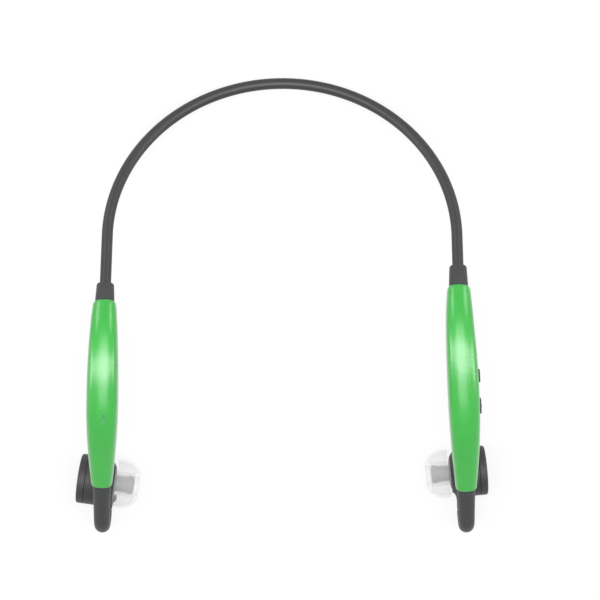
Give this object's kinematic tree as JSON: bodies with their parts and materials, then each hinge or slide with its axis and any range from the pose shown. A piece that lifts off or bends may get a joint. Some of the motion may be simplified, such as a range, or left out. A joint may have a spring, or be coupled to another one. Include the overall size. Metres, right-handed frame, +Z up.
{
  "type": "neckband headset",
  "caption": "Behind-the-neck stereo headset: thin round neckband, arms that arch over the ears and curl down into small pods with soft in-ear tips.",
  "frame": {"origin": "bottom centre of the bounding box, as the headset lies on a table", "axes": "+Z up, the wearer faces -Y, +X is the wearer's left, +Y runs back to the middle of the neckband"},
  "size_m": [0.139, 0.1534, 0.0465],
  "materials": {
    "green_shell": "glossy moulded plastic",
    "dark_shell": "fine-grained moulded plastic",
    "band_jacket": "smooth extruded elastomer",
    "soft_rubber": "soft-touch moulded rubber",
    "silicone": "clear moulded silicone",
    "spring_steel": "drawn wire and stamped sheet",
    "copper": "stranded copper",
    "circuit_board": "solder-masked laminate",
    "black_plastic": "moulded switch bodies",
    "driver_metal": "stamped and machined metal",
    "diaphragm_film": "formed film",
    "steel_mesh": "woven mesh",
    "cell_wrap": "foil pouch",
    "light_lens": "frosted light pipe"
  },
  "bodies": {
    "headset": {"neckband_jacket": "band_jacket", "neckband_core_wire": "spring_steel", "neckband_leads": "copper", "right_sleeve": "soft_rubber", "left_sleeve": "soft_rubber", "right_arm_top": "green_shell", "left_arm_top": "green_shell", "right_arm_base": "dark_shell", "left_arm_base": "dark_shell", "right_arm_screws": "spring_steel", "left_arm_screws": "spring_steel", "right_curl": "soft_rubber", "left_curl": "soft_rubber", "right_pod_housing": "dark_shell", "left_pod_housing": "dark_shell", "right_pod_cap": "dark_shell", "left_pod_cap": "dark_shell", "right_driver": "driver_metal", "left_driver": "driver_metal", "right_diaphragm": "diaphragm_film", "left_diaphragm": "diaphragm_film", "right_nozzle_mesh": "steel_mesh", "left_nozzle_mesh": "steel_mesh", "main_board": "circuit_board", "key_switches": "black_plastic", "charging_socket": "spring_steel", "microphone": "driver_metal", "battery_cell": "cell_wrap", "light_board": "circuit_board", "light_pipe": "light_lens", "call_switch": "circuit_board"},
    "right_tip": {"right_ear_tip": "silicone"},
    "left_tip": {"left_ear_tip": "silicone"},
    "rear_key": {"rear_key": "soft_rubber"},
    "front_key": {"front_key": "soft_rubber"},
    "socket_cover": {"socket_cover": "soft_rubber"},
    "call_key": {"call_key": "soft_rubber"}
  },
  "joints": [
    {"name": "right_tip_pull", "type": "slide", "parent": "headset", "child": "right_tip", "axis": [0.9903, -0.1392, 0], "range_m": [0, 0.008]},
    {"name": "left_tip_pull", "type": "slide", "parent": "headset", "child": "left_tip", "axis": [-0.9962, -0.0872, 0], "range_m": [0, 0.008]},
    {"name": "rear_key_press", "type": "slide", "parent": "headset", "child": "rear_key", "axis": [-0.9983, -0.0577, 0], "range_m": [0, 0.00035], "stiffness_N_per_m": 800},
    {"name": "front_key_press", "type": "slide", "parent": "headset", "child": "front_key", "axis": [-0.9983, -0.0577, 0], "range_m": [0, 0.00035], "stiffness_N_per_m": 800},
    {"name": "socket_cover_pull", "type": "slide", "parent": "headset", "child": "socket_cover", "axis": [-0.0239, 0.4129, -0.9105], "range_m": [0, 0.0035]},
    {"name": "call_key_press", "type": "slide", "parent": "headset", "child": "call_key", "axis": [0.9903, -0.1392, 0], "range_m": [0, 0.0004], "stiffness_N_per_m": 800}
  ]
}
